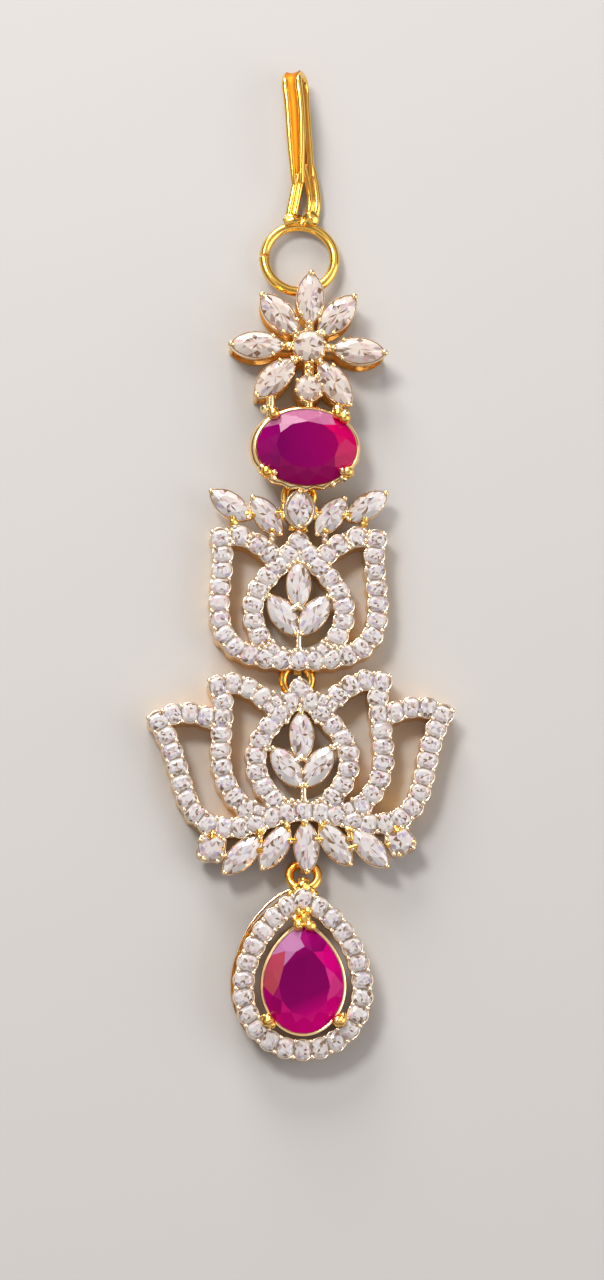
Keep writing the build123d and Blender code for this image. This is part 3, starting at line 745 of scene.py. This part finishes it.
def cushion_girdle(across, along):
    """A round stone squared a little by its beads."""
    def place(t):
        squared = 1 - 0.09 * cos(4 * t)
        return along / 2 * cos(t) * squared, across / 2 * sin(t) * squared
    return place


def fill_top(metal, radius, gap, taken):
    """Places on the broad flat tops of a panel, each clear of what is taken there already."""
    form = nodes[metal].data
    tree = BVHTree.FromPolygons([v.co for v in form.vertices], [p.vertices for p in form.polygons])
    top, step = 2.4, 0.12
    (left, near, _), (right, far, _) = [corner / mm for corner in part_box(metal)]
    around = [(radius * cos(k * pi / 4), radius * sin(k * pi / 4)) for k in range(8)] + [(0, 0)]

    def on_metal(x, y):
        hit = tree.ray_cast(Vector((x, y, 10)) * mm, Vector((0, 0, -1)))[0]
        return hit is not None and abs(hit.z / mm - top) < 0.03

    found = []
    for j in range(int((far - near) / step)):
        for i in range(int((right - left) / step)):
            x, y = left + i * step, near + j * step
            spot = Vector((x, y, top))
            if any((spot - c).length < reach + radius + gap for c, reach in taken):
                continue
            if all(on_metal(x + dx, y + dy) for dx, dy in around):
                found.append(spot)
                taken.append((spot, radius))
    return found


edge_radius, edge_wire = 0.95, 0.065
bead_radius, bead_drop = 0.22, 0.3
bead_room = 0.19  # radius of flat metal that a bead on a broad top needs
# Beads between two stones: the widest gap that still has them, their distance from the line
# between the stones, and the least distance between two beads
bead_gap, bead_side, bead_apart = 0.32, 0.72, 0.36
full_stone, small_stone = 1.2, 0.86  # least width of a full one, and width of a small one
upright = Vector((0, 0, 1))


def painted_highlight_edge(place, axis, neighbours):
    """The bar's edge round one stone, a thin pale painted highlight, left out where a neighbour stands."""
    steps, arc = 60, []
    for i in range(steps):
        turn = 2 * pi * i / steps
        spot = place @ Vector((edge_radius * cos(turn), edge_radius * sin(turn), -0.04))
        arc.append((spot, all((spot - other).length > 1.0 for other in neighbours)))
    if all(free for _, free in arc):
        return []
    first = next(i for i in range(steps) if not arc[i][1])
    wires, run = [], []
    for i in range(steps + 1):
        spot, free = arc[(first + i) % steps]
        if free:
            run.append(spot)
            continue
        if len(run) > 5:
            wires.append(drawn(run, axis, round_profile(edge_wire, 10), nose=0.08))
        run = []
    return wires


def pave(node, seed, metal=None):
    """A field of stones with its beads and pale edges, painted highlights. With metal given, the broad
    tops of that panel also hold small stones and more beads."""
    cuts, beads, edges, centres = [], [], [], []
    for culet, table, width in loose_stones(node):
        axis = (table - culet).normalized()
        centres.append((culet + axis * (0.42 * width + 0.06), axis, width))
    if metal:
        taken = [(c, width / 2) for c, _, width in centres]
        for spot in fill_top(metal, small_stone / 2, 0.04, taken):
            centres.append((spot + upright * 0.08, upright, small_stone))
    spots = []
    for number, (a, axis, width) in enumerate(centres):
        others = sorted(((b - a).length, i) for i, (b, _, _) in enumerate(centres) if i != number)
        along = (centres[others[0][1]][0] - a).normalized()
        tip = axis.to_track_quat("Z", "Y").to_matrix().to_4x4()
        flat_along = tip.inverted().to_3x3() @ along
        turned = Matrix.Rotation(atan2(flat_along.y, flat_along.x), 4, "Z")
        place = Matrix.Translation(a) @ tip @ turned
        size = width * 1.13
        cut = brilliant(cushion_girdle(size * 1.2, size), 0.58, 0.2 * size, 0.42 * size)
        cuts.append(set_in(place, cut))
        if width > full_stone:
            edges += painted_highlight_edge(place, axis, [centres[j][0] for _, j in others[:6]])
        for span, j in others:
            b, _, other = centres[j]
            if j < number or span > (width + other) / 2 + bead_gap:
                continue
            side = axis.cross(b - a).normalized()
            between = a + (b - a) * (width / (width + other))
            for s in (-1, 1):
                spot = between + side * (s * bead_side) + axis * 0.06
                if all((spot - q).length > bead_apart for q in spots):
                    spots.append(spot)
                    beads.append(claw(spot, bead_radius, bead_drop))
        ways = [(centres[j][0] - a).normalized() for _, j in others[:2]]
        lead = sum(ways, Vector()) / 2
        if metal and width > full_stone and lead.length > 0.5:
            beads.append(claw(a - lead.normalized() * 0.92 + axis * 0.08, 0.27, bead_drop))
    if metal:
        taken = [(c, width / 2) for c, _, width in centres] + [(spot, bead_radius) for spot in spots]
        for spot in fill_top(metal, bead_room, 0.0, taken):
            beads.append(claw(spot + upright * 0.1, bead_radius, bead_drop))
    stones(node.replace("pave", "pave_stones"), cuts, white_stone, "white_stone", seed, node)
    # Beads and edges in the paler gold: painted highlights
    piece(node.replace("pave", "beads"), beads, pale_painted_highlight_gold, "gold")
    piece(node.replace("pave", "edges"), edges, pale_painted_highlight_gold, "gold")


pave("tulip_pave", 51, "tulip_panel")
pave("lotus_pave", 52, "lotus_panel")
pave("drop_pave", 53)


# ---- Leaves ----
# Marquise stones in thin cups: a spray of four and a kite over the tulip, three inside each
# panel, and a row of five between two squared round stones under the lotus. Short rods and
# lumps of solder join the cups to the bars.
leaf_sizes = {"leaf": (4.3, 2.16), "base": (4.55, 2.16), "kite": (3.35, 2.35)}  # length and width
# Turn of each stone from the jewel's length, in degrees, and its kind
leaves = {
    "tulip_upright": (0, "leaf"), "tulip_leaf_left": (34, "leaf"), "tulip_leaf_right": (-34, "leaf"),
    "spray_outer_left": (54.5, "leaf"), "spray_inner_left": (37, "leaf"),
    "spray_inner_right": (-37, "leaf"), "spray_outer_right": (-54.5, "leaf"), "spray_kite": (0, "kite"),
    "lotus_upright": (1.9, "leaf"), "lotus_leaf_left": (35.9, "leaf"), "lotus_leaf_right": (-32.1, "leaf"),
    "base_middle": (1.9, "base"), "base_left_1": (-31.1, "base"), "base_right_1": (35.9, "base"),
    "base_left_2": (-45.1, "base"), "base_right_2": (43.9, "base"),
}


def kite_girdle(long, wide):
    """A marquise drawn towards a kite: fuller at the shoulders, straighter to the points."""
    def place(t):
        side = 0.55 * abs(cos(t)) + 0.45 * (1 - abs(sin(t)))
        return (wide / 2 * (side if cos(t) > 0 else -side), long / 2 * sin(t))
    return place


leaf_height, kite_height = 2.45, 2.95  # of the stones' girdles
leaf_claws, leaf_rims = [], []
for number, (name, (turn, kind)) in enumerate(leaves.items()):
    centre, _ = middle_of(name)
    girdle = kite_height if kind == "kite" else leaf_height
    long, wide = leaf_sizes[kind]
    place = Matrix.Translation((centre.x, centre.y, 0)) @ Matrix.Rotation(radians(turn), 4, "Z")
    outline = kite_girdle(long, wide) if kind == "kite" else marquise_girdle(long, wide)
    cut = brilliant(outline, 0.55, 0.46, 0.88, mains=14)
    cut = set_in(place @ Matrix.Translation((0, 0, girdle)), cut)
    stones("stone_" + name, [cut], white_stone, "white_stone", 61 + number, name)
    leaf_rims.append(set_in(place, marquise_rim(long, wide, bezel(girdle + 0.05, 0.7, 0.13))))
    for y in (long / 2, -long / 2):
        leaf_claws.append(set_in(place, claw((0, y, girdle + 0.12), 0.27, 0.6)))

end_width, end_corner = 2.4, 1.25
end_turns = {"base_end_left": 10, "base_end_right": 40}
end_cut = brilliant(cushion_girdle(end_width, end_width), 0.56, 0.42, 0.95)
for number, (name, turn) in enumerate(end_turns.items()):
    centre, _ = middle_of(name)
    place = Matrix.Translation((centre.x, centre.y, 0)) @ Matrix.Rotation(radians(turn), 4, "Z")
    cut = set_in(place @ Matrix.Translation((0, 0, leaf_height)), end_cut)
    stones("stone_" + name, [cut], white_stone, "white_stone", 91 + number, name)
    edge = rim(lambda m: cushion_girdle(end_width + 2 * m, end_width + 2 * m), bezel(2.5, 0.7, 0.16))
    leaf_rims.append(set_in(place, edge))
    for corner in (45, 135, 225, 315):
        x, y = end_corner * cos(radians(corner)), end_corner * sin(radians(corner))
        leaf_claws.append(set_in(place, claw((x, y, 2.57), 0.25, 0.6)))


def both_sides(rods):
    """Each rod of the left side, from x, y to x, y, followed by its mirror image."""
    return [rod for x, y, x1, y1 in rods for rod in ((x, y, x1, y1), (-x, y, -x1, y1))]


heart_rods = both_sides(((-0.8, 5.6, 0.1, 6.2), (-2.6, 6.8, -3.4, 7.2)))
heart_rods += [(0, 3.6, 0, 2.1), (0, 10.0, 0, 10.5)]
spray_rods = both_sides((
    (-4.9, 14.7, -3.4, 14.5), (-6.3, 15.2, -6.15, 14.2), (-2.4, 14.0, -2.45, 13.0), (-2.4, 14.8, -0.9, 14.8),
))
spray_rods += [(0, 14.0, 0, 13.4)]
base_rods = both_sides((
    (-1.6, -0.7, -1.6, 0.0), (-4.2, -1.6, -4.05, -0.3), (-7.6, -2.2, -9.0, -2.0),
    (-8.7, -1.8, -8.35, -0.6), (-3.6, -2.6, -5.0, -2.2), (-0.6, -1.6, -2.4, -1.6),
))
base_rods += [(0, 0.0, 0, -0.6)]
# Lumps of solder on the rods: x, y and size
spray_solder = (
    (-1.35, 15.3, 0.42), (1.35, 15.3, 0.42), (-1.3, 14.5, 0.45), (1.3, 14.5, 0.45), (0.55, 13.3, 0.34),
    (-0.6, 13.4, 0.36), (-6.1, 13.9, 0.42), (6.1, 13.9, 0.42), (-2.45, 13.2, 0.4), (2.45, 13.2, 0.4),
)
base_solder = (
    (-1.6, -0.3, 0.38), (1.6, -0.3, 0.38), (-4.1, -0.7, 0.42), (4.1, -0.7, 0.42),
    (-8.5, -1.0, 0.42), (8.5, -1.0, 0.42), (-2.9, -1.9, 0.36), (2.9, -1.9, 0.36),
)
rod_height, solder_height, lotus_turn = 2.36, 2.45, 1.9
tulip_place = Matrix.Translation(Vector((-0.34, -9.95, 0)) - jewel_middle)
lotus_place = Matrix.Translation(Vector((0.21, -24.08, 0)) - jewel_middle)
lotus_place = lotus_place @ Matrix.Rotation(radians(lotus_turn), 4, "Z")
panel_rods = {"heart_rods": [], "outer_rods": []}
for place, group, rods in (
    (tulip_place, "heart_rods", heart_rods), (tulip_place, "outer_rods", spray_rods),
    (lotus_place, "heart_rods", heart_rods), (lotus_place, "outer_rods", base_rods),
):
    for x, y, x1, y1 in rods:
        path = [place @ Vector((x + (x1 - x) * i / 4, y + (y1 - y) * i / 4, rod_height)) for i in range(5)]
        panel_rods[group].append(drawn(path, upright, round_profile(0.31, 12), nose=0.2))
for place, solder in ((tulip_place, spray_solder), (lotus_place, base_solder)):
    for seed, (x, y, size) in enumerate(solder):
        ball = lump(place @ Vector((x, y, solder_height)), (size, size * 0.9, size * 0.85), seed, 0.3)
        panel_rods["outer_rods"].append(ball)
# Heart rods in the palest gold, a painted highlight; the outer rods in cast gold
piece("heart_rods", panel_rods["heart_rods"], pale_painted_highlight_gold, "gold")
piece("outer_rods", panel_rods["outer_rods"], cast_gold, "gold")
# Leaf claws and rims in the paler golds: painted highlights
piece("leaf_claws", leaf_claws, bright_painted_highlight_gold, "gold")
piece("leaf_rims", leaf_rims, pale_painted_highlight_gold, "gold")


# ---- Drop ----
# A clouded pear-shaped ruby in its own thin cup, inside the ring of pavé. Balls hold it low
# down at both sides and in a cluster at its point, which is soldered to the bail. A wire
# gallery shows behind the ring, at its left.
# Colour across the pear, one side to the other: its own dark red with painted light, brightest crimson at
# one edge
pear_colour_and_painted_light = (
    (0.0, (0.30, 0.0, 0.13)),
    (0.2, (0.17, 0.0, 0.08)),
    (0.65, (0.19, 0.0, 0.085)),
    (0.82, (0.38, 0.0, 0.13)),
    (1.0, (0.75, 0.0, 0.21)),
)
# Painted light on the pear's crown facets: the way they face, half spread, strength and colour
pear_painted_lights = (
    (-50, 85, 0.8, (0.66, 0.0, 0.20)),
    (-158, 24, 0.7, (0.42, 0.0, 0.14)),
    (165, 25, 0.85, (0.42, 0.06, 0.08)),
    (132, 22, 0.85, (0.44, 0.20, 0.38)),
)
pear_wide, pear_below, pear_above, pear_depth = 7.3, 4.3, 5.5, 1.75
culet = min((v.co for v in nodes["pear_ruby"].data.vertices), key=lambda c: c.z) / mm
drop_turn = Matrix.Rotation(radians(3.5), 4, "X") @ Matrix.Rotation(radians(1.5), 4, "Y")
pear_place = Matrix.Translation(culet + drop_turn @ Vector((0, 0, pear_depth))) @ drop_turn


def pear_girdle(margin):
    """The pear's outline, drawn in towards its point, at a margin outside the stone."""
    wide, below, above = pear_wide + 2 * margin, pear_below + margin, pear_above + 1.5 * margin

    def place(t):
        x, y = cos(t + pi / 2), sin(t + pi / 2)
        drawn_in = abs(x) ** 0.55 if y > 0.001 else 1.0
        return wide / 2 * x * drawn_in, y * (above if y > 0 else below)
    return place


pear_cut = brilliant(pear_girdle(0), 0.64, 1.05, pear_depth, mains=12)
pear_glass = ruby_glass("pear_ruby", pear_place.translation, 7.5, -65, pear_colour_and_painted_light)
ruby("pear_ruby_stone", set_in(pear_place, pear_cut), pear_glass, pear_painted_lights, 42, "pear_ruby")


def on_drop(x, y, z):
    """A place on the drop, measured from the middle of the pear's girdle."""
    return pear_place @ Vector((x, y, z))


# Balls of the prongs: place and radius
pear_balls = (
    (-3.2, -3.15, 0.25, 0.62), (-2.9, -3.5, 0.2, 0.4), (-3.5, -2.9, 0.0, 0.42), (3.35, -3.15, 0.25, 0.62),
    (3.6, -2.8, 0.0, 0.42), (-0.45, 5.5, 0.3, 0.52), (0.6, 5.4, 0.3, 0.54), (0.1, 6.1, 0.1, 0.55),
    (0.4, 6.75, -0.05, 0.45), (-0.4, 6.65, -0.05, 0.45), (-0.75, 6.0, -0.1, 0.38),
)
# Lumps of solder on the bail: place and size
bail_solder = (
    (0.0, 9.05, -0.85, (0.55, 0.6, 0.5)), (-0.6, 8.65, -0.9, (0.55, 0.42, 0.45)),
    (0.6, 8.65, -0.9, (0.55, 0.42, 0.45)), (-1.05, 8.35, -1.0, (0.4, 0.34, 0.4)),
    (1.05, 8.35, -1.0, (0.4, 0.34, 0.4)), (0.05, 9.55, -0.95, (0.36, 0.36, 0.4)),
)
drop_solder = []
for seed, (x, y, z, radius) in enumerate(pear_balls):
    drop_solder.append(lump(on_drop(x, y, z), (radius, radius * 0.95, radius * 0.9), seed, 0.2))
for seed, (x, y, z, size) in enumerate(bail_solder, 20):
    drop_solder.append(lump(on_drop(x, y, z), size, seed, 0.25))
piece("drop_solder", drop_solder, cast_gold, "gold")
# Section of the cup's edge: distance from the stone, and height
pear_bezel = ((0.03, -0.5), (0.25, -0.5), (0.3, -0.1), (0.24, 0.04), (0.12, 0.08), (0.03, 0.03))
pear_edge = rim(pear_girdle, pear_bezel, 96)
# Cup edge in the paler gold: painted highlight
piece("pear_edge", [set_in(pear_place, pear_edge)], bright_painted_highlight_gold, "gold")
gallery_path = (
    (-0.5, 8.8, -2.2), (-1.3, 8.65, -2.3), (-2.1, 8.25, -2.4), (-3.1, 7.45, -2.45), (-4.1, 6.35, -2.5),
    (-4.9, 5.2, -2.5), (-5.5, 4.0, -2.5), (-6.0, 2.6, -2.5), (-6.35, 1.1, -2.5), (-6.42, -0.3, -2.5),
    (-6.25, -1.4, -2.5),
)
gallery_wire = drawn([on_drop(*point) for point in gallery_path], upright, round_profile(0.15, 10))
# Gallery wire in the palest gold: painted highlight
piece("drop_gallery_wire", [gallery_wire], pale_painted_highlight_gold, "gold")
